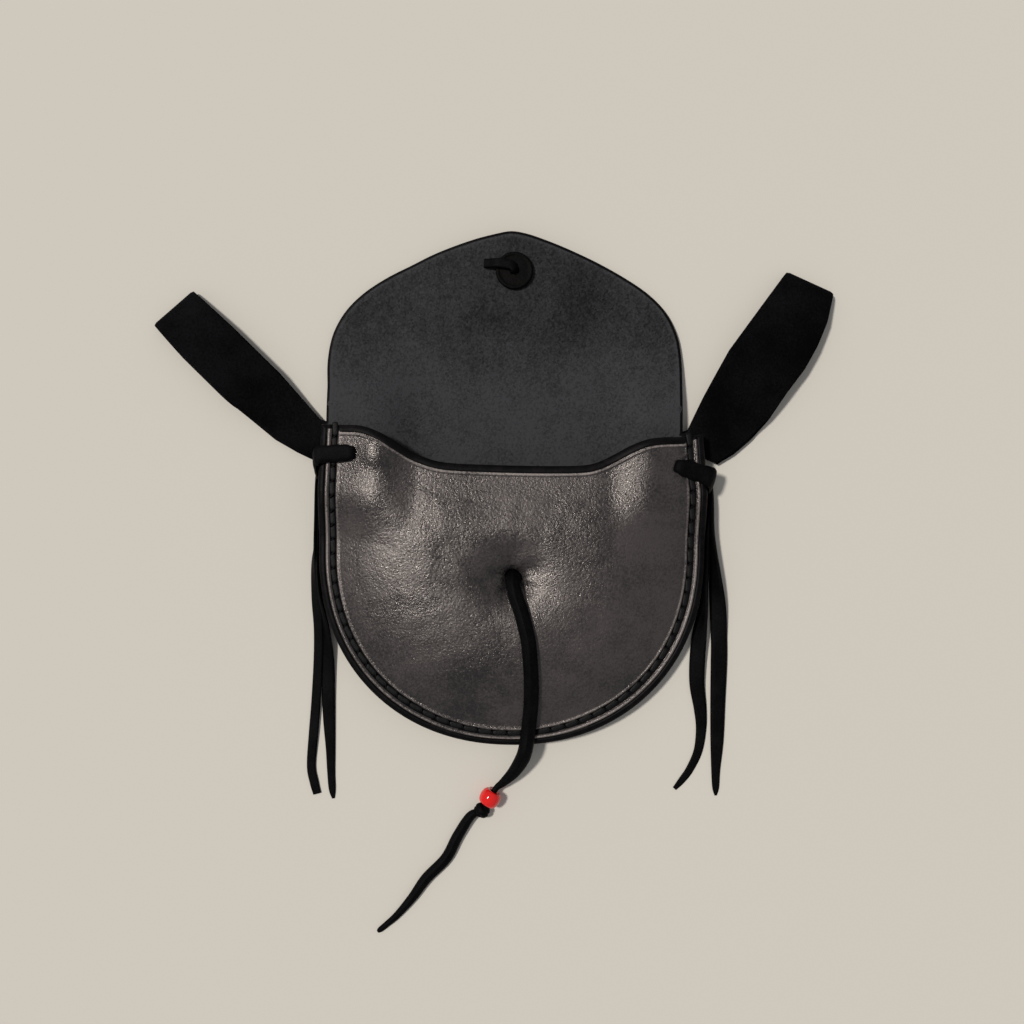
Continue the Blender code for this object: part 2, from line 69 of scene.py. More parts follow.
# the photograph's view: straight down from 420 mm, turned a little
view = {"place": (-0.14, 15.72, 420.0), "lens": 36.77, "turn": 0.8}
cameraData = bpy.data.cameras.new("overheadCamera")
cameraData.lens = view["lens"]
cameraData.sensor_width = 36
cameraData.clip_start = 0.01
cameraObject = addObject("overheadCamera", cameraData)
cameraObject.location = Vector(view["place"]) * mm
cameraObject.rotation_euler = (0, 0, math.radians(view["turn"]))
bpy.context.scene.camera = cameraObject
print("camera placed")


def toLinear(hexColour, alpha=1.0):
    parts = [int(hexColour[i:i + 2], 16) / 255 for i in (0, 2, 4)]
    return (*[p / 12.92 if p <= 0.04045 else ((p + 0.055) / 1.055) ** 2.4 for p in parts], alpha)


def feed(tree, node, inputs):
    # an input takes a value, a socket, or a node, which gives its first output
    for socket, value in inputs.items():
        if isinstance(value, bpy.types.Node):
            value = value.outputs[0]
        if isinstance(value, bpy.types.NodeSocket):
            tree.links.new(value, node.inputs[socket])
        else:
            node.inputs[socket].default_value = value


def addNode(tree, kind, inputs=None, **settings):
    node = tree.nodes.new(kind)
    for key, value in settings.items():
        setattr(node, key, value)
    feed(tree, node, inputs or {})
    return node


def newMaterial(name, sockets):
    made = bpy.data.materials.new(name)
    made.use_nodes = True
    shader = made.node_tree.nodes["Principled BSDF"]
    feed(made.node_tree, shader, sockets)
    return made, made.node_tree, shader


def frontLeatherMaterial():
    # waxed vegetable-tanned cowhide, wet-moulded and dyed: its fine grain breaks the shine to sparks,
    # and the raised lines are paler, for dye worn off them and for a painted highlight along them
    look = {"plain": "151416", "worn": "3d3838", "rubbedAndLit": "a59c98", "wax": "fff5f0",
            "grainMm": 1.0, "sparkMm": 0.55, "cloudMm": 26.0, "pitMm": 0.26}
    made, tree, shader = newMaterial("waxedMouldedLeather", {
        "Specular IOR Level": 0.8, "Specular Tint": toLinear(look["wax"])})
    spot = addNode(tree, "ShaderNodeTexCoord").outputs["Object"]
    cloud = addNode(tree, "ShaderNodeTexNoise", {
        "Vector": spot, "Scale": 1000 / look["cloudMm"], "Detail": 5.0, "Roughness": 0.6})
    grain = addNode(tree, "ShaderNodeTexNoise", {
        "Vector": spot, "Scale": 1000 / look["grainMm"], "Detail": 3.0, "Roughness": 0.65})
    spark = addNode(tree, "ShaderNodeTexVoronoi", {
        "Vector": spot, "Scale": 1000 / look["sparkMm"]}).outputs["Color"]
    grainy = addNode(tree, "ShaderNodeMath", {0: grain, 1: 0.6, 2: cloud}, operation="MULTIPLY_ADD")
    mixed = addNode(tree, "ShaderNodeMath", {0: spark, 1: 0.16, 2: grainy}, operation="MULTIPLY_ADD")
    share = addNode(tree, "ShaderNodeMapRange", {"Value": mixed, "From Min": 0.7, "From Max": 1.0})
    tone = addNode(tree, "ShaderNodeMix", {
        0: share, 6: toLinear(look["plain"]), 7: toLinear(look["worn"])}, data_type="RGBA")
    wearAndPaintedLight = addNode(tree, "ShaderNodeAttribute", attribute_name="wearAndPaintedLight").outputs["Fac"]
    patchy = addNode(tree, "ShaderNodeMapRange", {
        "Value": mixed, "From Min": 0.7, "From Max": 1.0, "To Min": 0.1})
    # where the pale colour shows: worn dye, and a painted highlight on the rim and crease lines
    gone = addNode(tree, "ShaderNodeMath", {0: wearAndPaintedLight, 1: patchy}, operation="MULTIPLY")
    baredAndLit = addNode(tree, "ShaderNodeMix", {
        0: gone, 6: tone.outputs[2], 7: toLinear(look["rubbedAndLit"])}, data_type="RGBA")
    dull = addNode(tree, "ShaderNodeMath", {0: cloud, 1: 0.8, 2: spark}, operation="MULTIPLY_ADD")
    matt = addNode(tree, "ShaderNodeMapRange", {
        "Value": dull, "From Min": 0.5, "From Max": 1.3, "To Min": 0.17, "To Max": 0.42})
    pits = addNode(tree, "ShaderNodeBump", {"Height": grain, "Distance": look["pitMm"] * mm})
    feed(tree, shader, {"Base Color": baredAndLit.outputs[2], "Roughness": matt, "Normal": pits})
    return made


def fleshLeatherMaterial():
    # the flesh side of the same hide, dyed black and slicked: matt, cloudy, with short fibres
    look = {"dark": "0c0c0e", "rubbedAndLit": "37373a", "fibreMm": 1.0, "patchMm": 4.5,
            "fleckMm": 0.7, "cloudMm": 34.0, "napMm": 0.3}
    made, tree, shader = newMaterial("slickedFleshLeather", {
        "Roughness": 0.7, "Specular IOR Level": 0.22})
    spot = addNode(tree, "ShaderNodeTexCoord").outputs["Object"]
    cloud = addNode(tree, "ShaderNodeTexNoise", {
        "Vector": spot, "Scale": 1000 / look["cloudMm"], "Detail": 5.0, "Roughness": 0.6})
    patch = addNode(tree, "ShaderNodeTexNoise", {
        "Vector": spot, "Scale": 1000 / look["patchMm"], "Detail": 3.0, "Roughness": 0.6})
    fibre = addNode(tree, "ShaderNodeTexNoise", {
        "Vector": spot, "Scale": 1000 / look["fibreMm"], "Detail": 3.0, "Roughness": 0.75})
    fleck = addNode(tree, "ShaderNodeTexVoronoi", {
        "Vector": spot, "Scale": 1000 / look["fleckMm"]}).outputs["Color"]
    # the share from the mesh lightens the flesh side where it is worn and where light is painted: round
    # the mouth and fold, and in a line by the edge
    rubAndPaintedLight = addNode(tree, "ShaderNodeAttribute", attribute_name="wearAndPaintedLight").outputs["Fac"]
    cloudy = addNode(tree, "ShaderNodeMath", {0: cloud, 1: rubAndPaintedLight})
    flecked = addNode(tree, "ShaderNodeMath", {0: fleck, 1: 0.7, 2: fibre}, operation="MULTIPLY_ADD")
    fine = addNode(tree, "ShaderNodeMath", {0: patch, 1: 0.6, 2: flecked}, operation="MULTIPLY_ADD")
    mixed = addNode(tree, "ShaderNodeMath", {0: cloudy, 1: fine})
    share = addNode(tree, "ShaderNodeMapRange", {"Value": mixed, "From Min": 1.3, "From Max": 2.2})
    tone = addNode(tree, "ShaderNodeMix", {
        0: share, 6: toLinear(look["dark"]), 7: toLinear(look["rubbedAndLit"])}, data_type="RGBA")
    nap = addNode(tree, "ShaderNodeBump", {"Height": fibre, "Distance": look["napMm"] * mm})
    feed(tree, shader, {"Base Color": tone.outputs[2], "Normal": nap})
    return made


def speckledMaterial(name, sockets, look):
    # two tones in specks: each speck size is (mm wide, detail, roughness), and they multiply
    made, tree, shader = newMaterial(name, sockets)
    spot = addNode(tree, "ShaderNodeTexCoord").outputs["Object"]
    specks = [addNode(tree, "ShaderNodeTexNoise", {
        "Vector": spot, "Scale": 1000 / size, "Detail": detail, "Roughness": rough})
        for size, detail, rough in look["specks"]]
    mixed = specks[0]
    for more in specks[1:]:
        mixed = addNode(tree, "ShaderNodeMath", {0: mixed, 1: more}, operation="MULTIPLY")
    share = addNode(tree, "ShaderNodeMapRange", {
        "Value": mixed, "From Min": look["span"][0], "From Max": look["span"][1]})
    tone = addNode(tree, "ShaderNodeMix", {
        0: share, 6: toLinear(look["deep"]), 7: toLinear(look["light"])}, data_type="RGBA")
    feed(tree, shader, {"Base Color": tone.outputs[2]})
    if look["napMm"]:
        nap = addNode(tree, "ShaderNodeBump", {"Height": specks[0], "Distance": look["napMm"] * mm})
        feed(tree, shader, {"Normal": nap})
    return made


def threadMaterial():
    # waxed linen thread, black: twisted plies and a dull wax shine
    look = {"thread": "0a0a0b", "plyMm": 0.7, "ridgeMm": 0.12}
    made, tree, shader = newMaterial("waxedLinenThread", {
        "Base Color": toLinear(look["thread"]), "Specular IOR Level": 0.15})
    spot = addNode(tree, "ShaderNodeTexCoord").outputs["Object"]
    plies = addNode(tree, "ShaderNodeTexNoise", {
        "Vector": spot, "Scale": 1000 / look["plyMm"], "Detail": 2.0, "Roughness": 0.7})
    ridges = addNode(tree, "ShaderNodeBump", {"Height": plies, "Distance": look["ridgeMm"] * mm})
    feed(tree, shader, {"Normal": ridges})
    return made


frontLeather = frontLeatherMaterial()
fleshLeather = fleshLeatherMaterial()
# edge dye worked to a polish with wax and canvas: near black, with a thin shine; on the front it also
# covers the stitch groove and the band along the lip, dye there together with painted shade
burnishedEdgeAndShade = speckledMaterial(
    "burnishedEdgeAndShade", {"Specular IOR Level": 0.09},
    {"deep": "060506", "light": "141112", "specks": [(3.0, 4.0, 0.7)], "span": (0.45, 0.8),
     "napMm": 0.2})
# split suede dyed black: no shine, a soft nap that shows as faint patches
blackSuede = speckledMaterial(
    "brushedSuede", {"Roughness": 0.95, "Specular IOR Level": 0.04},
    {"deep": "040405", "light": "131315", "specks": [(0.8, 3.0, 0.8), (30.0, 4.0, 0.6)],
     "span": (0.16, 0.38), "napMm": 0.3})
# cut lace leather: a dull skin with short streaks and a little lint
laceLook = {"deep": "030304", "light": "0d0d0f", "specks": [(0.8, 4.0, 0.7), (11.0, 3.0, 0.7)],
            "span": (0.18, 0.38), "napMm": 0.2}
laceLeather = speckledMaterial(
    "dullLaceLeather", {"Roughness": 0.55, "Specular IOR Level": 0.05}, laceLook)
# the disc is punched from the same leather, browner where its dye is thin
discLeather = speckledMaterial(
    "darkDiscLeather", {"Specular IOR Level": 0.05},
    {**laceLook, "deep": "030303", "light": "0b0909"})
linenThread = threadMaterial()
# opaque red glass, fire-polished: deep colour under a clear wet shine
redGlass = speckledMaterial(
    "firePolishedGlass",
    {"Roughness": 0.1, "IOR": 1.52, "Coat Weight": 0.3, "Coat Roughness": 0.04},
    {"deep": "de110e", "light": "e41c16", "specks": [(3.8, 2.0, 0.7)], "span": (0.35, 0.8),
     "napMm": 0})
print("materials made")


def ease(t):
    t = min(max(t, 0.0), 1.0)
    return t * t * (3 - 2 * t)


def hollow(distance, centre, halfWidth):
    # one at the middle of a groove, nothing past its sides
    reach = abs(distance - centre) / halfWidth
    return math.cos(reach * math.pi / 2) ** 2 if reach < 1 else 0.0


def lift(x, y):
    # height of the back leather over the floor: at its corners it stands on laces and loops
    corner = ease((abs(x) - 36) / 20) * ease((y - 2) / 22) * (1 - ease((y - 52) / 32))
    tip = ease((y - 82) / 18) * (1 - ease((abs(x - bag["button"][0]) - 14) / 30))
    return cornerLift * corner + bag["tipLift"] * tip


def inside(x, y):
    # distance in from the body's outline
    power = bag["bowlPower"]
    bowl = abs(x / bag["halfWidth"]) ** power + abs(min(y, 0) / bag["bowlDepth"]) ** power
    return bag["halfWidth"] * (1 - bowl ** (1 / power))


def moulded(x, y):
    run = min(max((inside(x, y) - bag["flange"]) / bag["bulgeRun"], 0.0), 1.0)
    rise = bag["bulge"] * (1 - (1 - run) ** 2.2) * (1 - 0.3 * ease((y - 4) / 30))
    reach = math.dist((x, y), bag["thongHole"]) / bag["dimpleWide"]
    return rise - bag["dimple"] * math.exp(-reach ** 2 / 2)


def frontTop(x, y):
    return lift(x, y) + frontBase + bag["leather"] + moulded(x, y)


def through(points, steps=8):
    # a smooth run of points through the given ones
    ends = [[2 * a - b for a, b in zip(points[0], points[1])]]
    ends += [list(p) for p in points]
    ends += [[2 * a - b for a, b in zip(points[-1], points[-2])]]
    run = []
    for i in range(1, len(ends) - 2):
        for k in range(steps):
            t = k / steps
            near = zip(ends[i - 1], ends[i], ends[i + 1], ends[i + 2])
            run.append(tuple(
                0.5 * (2 * b + (c - a) * t + (2 * a - 5 * b + 4 * c - d) * t * t
                       + (3 * b - a - 3 * c + d) * t ** 3)
                for a, b, c, d in near))
    run.append(tuple(points[-1]))
    return run


def evenly(points, step):
    # the same line with its points a step apart, both ends kept
    lengths = [0.0]
    for a, b in zip(points, points[1:]):
        lengths.append(lengths[-1] + math.dist(a, b))
    count = max(1, round(lengths[-1] / step))
    run = []
    k = 0
    for i in range(count + 1):
        want = lengths[-1] * i / count
        while k < len(points) - 2 and lengths[k + 1] < want:
            k += 1
        share = (want - lengths[k]) / max(lengths[k + 1] - lengths[k], 1e-9)
        run.append(tuple(a + (b - a) * share for a, b in zip(points[k], points[k + 1])))
    return run


def levelSides(route):
    # at each point of a route, the level direction square to it
    sides = []
    for i in range(len(route)):
        a, b = route[max(i - 1, 0)], route[min(i + 1, len(route) - 1)]
        sides.append(Vector((a[1] - b[1], b[0] - a[0], 0)).normalized())
    return sides


def addPiece(name, points, faces, material, body, marks=None, sharp=60, rimLook=None):
    mesh = bpy.data.meshes.new(name)
    mesh.from_pydata([Vector(p) * mm for p in points], [], faces)
    mesh.materials.append(material)
    # the second finish goes where the dark mask is: dyed edges, and on the front painted shade in the
    # stitch groove and on the lip band
    if rimLook:  # the dyed and burnished rim has a finish of its own
        mesh.materials.append(rimLook)
        dark = marks["dyeAndShade"]
        for polygon in mesh.polygons:
            shade = sum(dark[v] for v in polygon.vertices) / len(polygon.vertices)
            polygon.material_index = 1 if shade > 0.5 else 0
    for key, values in (marks or {}).items():
        mesh.attributes.new(key, "FLOAT", "POINT").data.foreach_set("value", values)
    work = bmesh.new()
    work.from_mesh(mesh)
    bmesh.ops.recalc_face_normals(work, faces=work.faces)
    for face in work.faces:
        face.smooth = True
    for edge in work.edges:
        edge.smooth = edge.calc_face_angle(0) < math.radians(sharp)
    work.to_mesh(mesh)
    work.free()
    piece = addObject(name, mesh)
    if body:
        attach(piece, body)
    return piece


def leatherSheet(outline, middle, offsets, innerRings, surface, cuts=None, holeRadius=0.0,
                 soften=2.4, mitred=True):
    # rings that follow the outline inwards and then run to the middle, over and under; cuts
    # says where the outline is a cut edge, soften how wide a ring takes a corner, and a mitred
    # ring keeps its distance there
    count = len(outline)
    cuts = cuts or [1.0] * count
    inward, square = [], []
    for i in range(count):
        before = Vector(outline[i]) - Vector(outline[i - 1])
        after = Vector(outline[(i + 1) % count]) - Vector(outline[i])
        first = Vector((-before.y, before.x)).normalized()
        second = Vector((-after.y, after.x)).normalized()
        inward.append((first + second) / max(1 + first.dot(second), 0.5))
        square.append(first)
    gaps = [math.dist(p, outline[(i + 1) % count]) for i, p in enumerate(outline)]
    rings = []
    for offset in offsets:
        ring = []
        for i, p in enumerate(outline):
            total = inward[i] * 0.001
            for step in (1, -1):
                k, gone = i, 0.0
                while gone < offset * soften:
                    gap = gaps[k] if step > 0 else gaps[k - 1]
                    k = (k + step) % count
                    gone += gap
                    total = total + inward[k] * gap
            total.normalize()
            shorter = max(total.dot(square[i]), 0.5) if mitred else 1.0
            ring.append(Vector(p) + (total / shorter if offset > 0.5 else inward[i]) * offset)
        rings.append(ring)
    depths = list(offsets)
    last = rings[-1]
    centre = Vector(middle)
    ends = [centre + (p - centre).normalized() * holeRadius for p in last]
    for k in range(1, innerRings + 1 if holeRadius else innerRings):
        share = k / innerRings
        rings.append([p + (q - p) * share for p, q in zip(last, ends)])
        depths.append(offsets[-1] + 60 * share)
    spots = [(p.x, p.y, depth, cut) for ring, depth in zip(rings, depths)
             for p, cut in zip(ring, cuts)]
    if not holeRadius:
        spots.append((*middle, 99.0, 1.0))
    upper, lower = [], []
    # the marks carry the dark finish, with its painted shade, and the worn share, with its painted light
    marks = {"dyeAndShade": [], "wearAndPaintedLight": []}
    for spot in spots:
        top, under, dyeAndShade, wearAndPaintedLight = surface(*spot)
        upper.append((*spot[:2], top))
        lower.append((*spot[:2], under))
        marks["dyeAndShade"].append(dyeAndShade)
        marks["wearAndPaintedLight"].append(wearAndPaintedLight)
    half = len(upper)
    faces = []
    for k in range(len(rings) - 1):
        for i in range(count):
            j = (i + 1) % count
            a, b, c, d = k * count + i, k * count + j, (k + 1) * count + j, (k + 1) * count + i
            faces.append((a, b, c, d))
            faces.append((half + d, half + c, half + b, half + a))
    start = (len(rings) - 1) * count
    for i in range(count):
        j = (i + 1) % count
        if holeRadius:
            faces.append((start + i, start + j, half + start + j, half + start + i))
        else:
            faces.append((start + i, start + j, half - 1))
            faces.append((2 * half - 1, half + start + j, half + start + i))
        faces.append((i, half + i, half + j, j))
    return upper + lower, faces, {key: values * 2 for key, values in marks.items()}


def edgeGauge(line):
    # tells how far a point stands off a drawn edge, measured square to it
    fine = evenly(line, 0.25)
    tree = kdtree.KDTree(len(fine))
    for k, p in enumerate(fine):
        tree.insert((p[0], p[1], 0), k)
    tree.balance()

    def gauge(x, y):
        k = tree.find((x, y, 0))[1]
        a, b = fine[max(k - 1, 0)], fine[min(k + 1, len(fine) - 1)]
        heading = Vector((b[0] - a[0], b[1] - a[1])).normalized()
        return abs(heading.x * (y - fine[k][1]) - heading.y * (x - fine[k][0]))
    return gauge


def bodyEdge(step):
    # the body's outline from its left corner around the bowl to its right corner
    half, power = bag["halfWidth"], 2 / bag["bowlPower"]
    path = [bag["leftCorner"], (-half, 24)]
    for i in range(121):
        turn = math.pi * i / 120
        x = -half * math.copysign(abs(math.cos(turn)) ** power, math.cos(turn))
        path.append((x, -bag["bowlDepth"] * math.sin(turn) ** power))
    path += [(half, 24), bag["rightCorner"]]
    return evenly(path, step)


def sweep(route, sides, scales, section):
    # a closed section carried along a route, with flat ends
    points = []
    ring = len(section)
    for i, spot in enumerate(route):
        here = Vector(spot)
        heading = Vector(route[min(i + 1, len(route) - 1)]) - Vector(route[max(i - 1, 0)])
        heading.normalize()
        side = sides[i] - sides[i].dot(heading) * heading
        side.normalize()
        up = heading.cross(side)
        for across, over in section:
            points.append(here + side * across * scales[i] + up * over * scales[i])
    faces = [tuple(range(ring))]
    for i in range(len(route) - 1):
        for k in range(ring):
            m = (k + 1) % ring
            faces.append((i * ring + k, (i + 1) * ring + k, (i + 1) * ring + m, i * ring + m))
    last = (len(route) - 1) * ring
    faces.append(tuple(last + k for k in reversed(range(ring))))
    return points, faces


def laceSection(width, thickness, ridge=0.0, dish=0.0, soft=6):
    # a cut strip with eased edges; a ridge lifts its middle, a dish hollows its underside
    upper, lower = [], []
    for k in range(13):
        across = -width / 2 + width * k / 12
        share = abs(across) / (width / 2)
        rounding = thickness / 2 * (1 - share ** soft) ** 0.5 if share < 1 else 0.0
        apex = -0.04 * width  # the ridge runs a little nearer one side
        slope = width / 2 - apex if across > apex else width / 2 + apex
        crown = ridge * (1 - abs(across - apex) / slope)
        upper.append((across, crown + rounding))
        lower.append((across, dish * (1 - share) - rounding))
    return upper + list(reversed(lower))[1:-1]


# the free laces come first
def rolledLace(name, stations, node):
    # a lace end that hangs on its edge and slowly turns flat: x, y, roll and scale
    run = through(stations)
    route, sides = [], []
    for (x, y, roll, scale), level in zip(run, levelSides(run)):
        turn = math.radians(roll)
        sides.append(level * math.cos(turn) + Vector((0, 0, math.sin(turn))))
        stand = (bag["laceWidth"] - bag["lace"]) / 2 * abs(math.sin(turn)) + bag["lace"] / 2
        route.append((x, y, stand * scale + 0.06))
    section = laceSection(bag["laceWidth"], bag["lace"])
    points, faces = sweep(route, sides, [station[3] for station in run], section)
    piece = addPiece(name, points, faces, laceLeather, "pouch")
    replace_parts(piece, node)


tails = {
    "outerLeftLace": ("tail_left_outer", [
        (-77.9, 31.5, 90, 0.7), (-78.1, 24, 90, 0.8), (-78.2, 12, 90, 0.8), (-78.4, 2, 85, 0.82),
        (-78.8, -6, 65, 0.85), (-78.1, -20, 40, 0.75), (-77.1, -32, 30, 0.68),
        (-77.0, -44.6, 20, 0.62), (-77.6, -60.7, 10, 0.6), (-78.4, -73.5, 5, 0.6),
        (-79.2, -86.8, 0, 0.55), (-78, -93.6, 0, 0.55), (-76.7, -98.3, 0, 0.5)]),
    "innerLeftLace": ("tail_left_inner", [
        (-76.8, 31, 90, 0.7), (-76.88, 22, 90, 0.8), (-76.9, 12, 90, 0.8), (-76.95, 3, 90, 0.82),
        (-77, -8, 90, 0.9), (-76.2, -18, 82, 1), (-74.6, -27, 65, 0.95), (-73.6, -36, 38, 0.88),
        (-73, -46, 10, 0.84), (-72.6, -60.6, 0, 0.8), (-72.2, -70, 0, 0.72),
        (-71.6, -80, 0, 0.58), (-71.2, -90, 0, 0.48), (-70.7, -96.5, 0, 0.42),
        (-70.2, -100.2, 0, 0.18)]),
    "innerRightLace": ("tail_right_inner", [
        (77.5, 27, 90, 0.8), (77.6, 20, 90, 1), (77.7, 10, 90, 1), (77.6, -2.4, 90, 1),
        (77.3, -12, 88, 1), (76.8, -20, 75, 1), (75.2, -34.5, 30, 0.98), (74.8, -50.6, 10, 0.92),
        (76.4, -62, 0, 0.78), (76.9, -70, 0, 0.64), (75.8, -79, 0, 0.54), (72.6, -86.4, 0, 0.48),
        (69.4, -91, 0, 0.42), (66.6, -94.4, 0, 0.26)]),
    "outerRightLace": ("tail_right_outer", [
        (79.0, 27.5, 90, 0.8), (79.2, 20, 90, 1), (79.5, 10, 90, 1), (80.3, 1, 80, 1),
        (81.4, -10, 50, 1), (82.8, -22, 20, 1), (83.5, -34, 0, 1), (83.6, -44, 0, 1),
        (83.4, -58.4, 0, 0.92), (83.3, -74.5, 0, 0.8), (83, -86.5, 0, 0.55),
        (83.1, -93.6, 0, 0.42), (83.2, -96.9, 0, 0.15)]),
}
for tailName, (node, stations) in tails.items():
    rolledLace(tailName, stations, node)

# the closing thong: out of the front, down over it, through the bead to its knot and tip
bead = {"at": (-7.3, -98.0), "high": 4.2, "heading": Vector((-0.51, -0.86, 0)).normalized(),
        "radius": 4.15, "length": 6.2, "bore": 1.75, "shoulder": 2.45, "ground": 0.5,
        "sides": 56, "rings": 24}
knot = {"past": 6.2, "high": 3.1, "size": (3.0, 3.3, 2.8), "turns": 2, "twist": 5.5,
        "deep": 0.13}
thong = {
    "width": 5.8, "thickness": 2.4, "ridge": 1.5, "dish": 0.3, "clear": 0.35,
    "rise": [(0.6, -6.2, 5.2, 0.8), (0.6, -8.4, 7.6, 1), (0.6, -9.2, 10.4, 1),
             (0.6, -9.6, 14, 1)],
    "over": [(0.8, -12.6), (1.8, -17), (3.6, -22), (5.1, -27), (6.8, -34), (7.7, -42),
             (8.2, -50), (8.3, -58), (7.9, -65), (7.3, -71.5)],
    "down": [(6.4, -77.5, 9.9, 1), (5, -82, 8.1, 1), (1.9, -87.4, 5.9, 0.85),
             (-2, -91.6, 4.7, 0.6), (-4.9, -94.1, 4.3, 0.42)],
    "tip": [(-14.9, -105.8, 2.4, 0.66), (-20, -114.1, 1.5, 0.76), (-24.6, -123.2, 1.3, 0.78),
            (-32.4, -131.4, 1.3, 0.76), (-37.9, -139.2, 1.2, 0.64), (-44, -146.5, 0.9, 0.5),
            (-48.4, -150.5, 0.75, 0.42), (-50.6, -152.4, 0.65, 0.38),
            (-51.5, -153.2, 0.5, 0.25)]}
beadCentre = Vector((*bead["at"], bead["high"]))
knotCentre = beadCentre + bead["heading"] * knot["past"]
knotCentre.z = knot["high"]
thongRoute = list(thong["rise"])
for x, y in thong["over"]:
    stand = bag["gap"] + thong["thickness"] / 2 + thong["clear"] + 0.6 * math.exp((y + 12.6) / 4)
    thongRoute.append((x, y, frontTop(x, y) + stand, 1))
thongRoute += [*thong["down"], (*beadCentre, 0.42), (*knotCentre.xy, 3.3, 0.42), *thong["tip"]]
thongRun = through(thongRoute)
thongSides = levelSides(thongRun)
for i in range(len(thongRun)):
    a, b = thongRun[max(i - 1, 0)], thongRun[min(i + 1, len(thongRun) - 1)]
    if math.dist(a[:2], b[:2]) < 0.25 * math.dist(a[:3], b[:3]):  # where it comes up the hole
        thongSides[i] = Vector((1, 0, 0))
points, faces = sweep(
    [p[:3] for p in thongRun], thongSides, [p[3] for p in thongRun],
    laceSection(thong["width"], thong["thickness"], thong["ridge"], thong["dish"]))
points = [Vector(p) for p in points]
work = bmesh.new()
bmesh.ops.create_uvsphere(work, u_segments=40, v_segments=24, radius=1)
knotTurn = Matrix.Rotation(math.atan2(bead["heading"].y, bead["heading"].x), 3, "Z")
start = len(points)
for vertex in work.verts:  # an overhand knot: a lump with the turns of the lace running round it
    p = vertex.co
    turn = math.atan2(p.z, p.y) * knot["turns"] + p.x * knot["twist"]
    swell = 1 - knot["deep"] * max(0.0, math.cos(turn)) ** 2
    points.append(knotCentre + knotTurn @ (p * Vector(knot["size"])) * swell)
faces += [tuple(start + v.index for v in face.verts) for face in work.faces]
work.free()
thongPiece = addPiece("closingThong", points, faces, laceLeather, "pouch")
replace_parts(thongPiece, "front_thong")


def glassBead():
    # a fire-polished ring of glass, a little uneven, with a ground hole
    half, bore, ground = bead["length"] / 2, bead["bore"], bead["ground"]
    turns = (0.5, 1.0, 1.57)
    profile = [(bore, -half + ground), (bore, half - ground)]
    profile += [(bore + ground * (1 - math.cos(t)), half - ground + 0.42 * math.sin(t))
                for t in turns]
    for k in range(1, bead["rings"]):
        turn = math.pi * k / bead["rings"]
        swell = (bead["radius"] - bead["shoulder"]) * math.sin(turn) ** 0.85
        profile.append((bead["shoulder"] + swell, half * math.cos(turn)))
    profile += [(bore + ground * (1 - math.cos(t)), -half + ground - 0.42 * math.sin(t))
                for t in reversed(turns)]
    points, faces = [], []
    away = bead["heading"]
    across = Vector((-away.y, away.x, 0))
    size = len(profile)
    for k in range(bead["sides"]):
        turn = 2 * math.pi * k / bead["sides"]
        out = across * math.cos(turn) + Vector((0, 0, math.sin(turn)))
        points += [beadCentre + out * r + away * z for r, z in profile]
        m = (k + 1) % bead["sides"]
        for i in range(size):
            j = (i + 1) % size
            faces.append((k * size + i, k * size + j, m * size + j, m * size + i))
    piece = addPiece("redBead", points, faces, redGlass, "pouch", sharp=80)
    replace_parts(piece, "bead")
    return piece


beadPiece = glassBead()

# the moulded front: its rim and lip lines, and where they are worn and carry a painted highlight, are
# (place in from the edge, half width, rise, or pale share for worn dye and painted highlight)
front = {"step": 1.0, "fineStep": 0.45, "fineReach": 12, "edgeRun": 2.6, "edgeDrop": 1.5,
         "grooveAt": 4.9, "grooveMore": 0.9, "holeRadius": 2.9, "lipBand": 2.9,
         "rim": [(5.8, 1.55, -0.85), (3.6, 0.85, 0.5), (2.6, 0.45, -0.3), (7.7, 0.55, 0.25)],
         "lip": [(3.1, 0.5, -0.35), (3.8, 0.6, 0.3)],
         "rimWornAndLit": [(3.55, 0.7, 0.6), (7.7, 0.5, 0.35)],
         "ripples": [(17, 0.32, 3.0), (6, 0.16, 8.0)],
         "swells": [((-53, 37.5), 1.3, 6.5), ((66, 37), 0.5, 7)],
         "sag": 0.6, "sagAt": (2, 27), "sagWide": (28, 12),
         "folds": 5, "foldRise": 0.5, "foldAt": 6, "foldWide": 4}
mouth = [
    (-75.2, 49), (-67.6, 48.9), (-58.6, 48.3), (-50.8, 45.4), (-44.5, 41.6), (-37.8, 37.8),
    (-30, 35.2), (-22.2, 34.3), (-12.1, 34), (0.8, 33.8), (13.6, 33.8), (26.8, 34.2),
    (33.1, 35.6), (39.6, 38.8), (45.8, 42.2), (52.4, 44.7), (59, 45.6), (65.2, 46), (74.2, 47.2)]
frontOffsets = [
    0, 0.12, 0.35, 0.65, 1.0, 1.4, 1.8, 2.2, 2.6, 2.95, 3.3, 3.6, 3.9, 4.2, 4.5, 4.8,
    5.1, 5.4, 5.7, 6.0, 6.3, 6.6, 6.9, 7.2, 7.5, 7.8, 8.2, 8.8, 9.6, 10.6, 11.6]


def finerEnds(line):
    # the same line with its points close together near both ends
    dense = evenly(line, front["fineStep"])
    keep = round(front["fineReach"] / front["fineStep"])
    return dense[:keep] + evenly(dense[keep:-keep], front["step"]) + dense[-keep:]


seamEdge = finerEnds(bodyEdge(front["step"]))
lipLine = evenly(list(reversed(through(mouth, 6))), 0.25)
lipEdge = finerEnds(lipLine)[1:-1]
frontOutline = seamEdge + lipEdge
fromSeam = edgeGauge(bodyEdge(0.5))
fromLip = edgeGauge(lipLine)


def ripple(x, y, size, amount, seed):
    return noise.noise(Vector((x / size, y / size, seed))) * amount


def grooveDistance(x):
    return front["grooveAt"] + front["grooveMore"] * ease((abs(x) - 5) / 35)


def edgeRound(distance, run, drop):
    near = max(0.0, 1 - distance / run)
    return drop * (1 - math.sqrt(max(0.0, 1 - near * near)))


